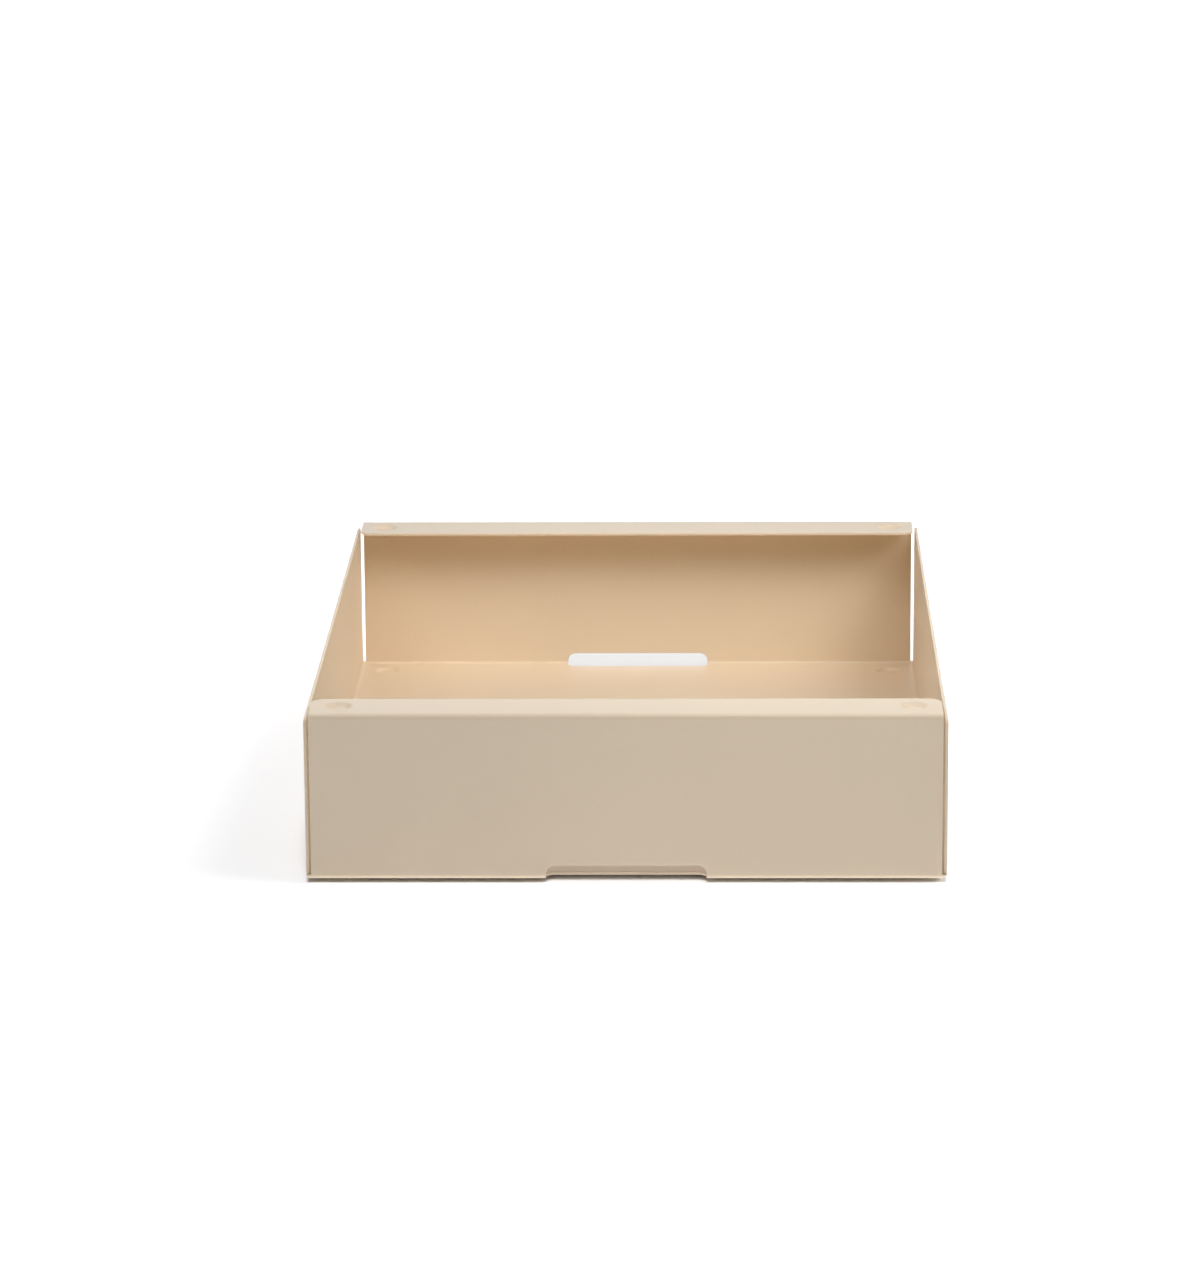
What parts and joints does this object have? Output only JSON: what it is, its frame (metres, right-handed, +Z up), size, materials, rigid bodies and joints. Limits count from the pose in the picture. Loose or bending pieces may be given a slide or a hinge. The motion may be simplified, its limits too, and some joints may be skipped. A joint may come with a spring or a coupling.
{
  "type": "desk tray",
  "caption": "Stackable desk tray for paper, folded from one powder-coated steel sheet, with inward flanges, finger notches, stacking dimples and pads under its feet.",
  "frame": {"origin": "on the desk, under the middle of the tray", "axes": "+X across the tray to the right, +Y from the front wall to the back wall, +Z up"},
  "size_m": [0.25, 0.325, 0.0688],
  "materials": {
    "powder_coat": "fine matte powder coat, warm sand beige",
    "pad": "matte milky silicone"
  },
  "bodies": {
    "root": {"tray_body": "powder_coat", "foot_pad_front_left": "pad", "foot_pad_front_right": "pad", "foot_pad_back_left": "pad", "foot_pad_back_right": "pad"}
  },
  "joints": []
}
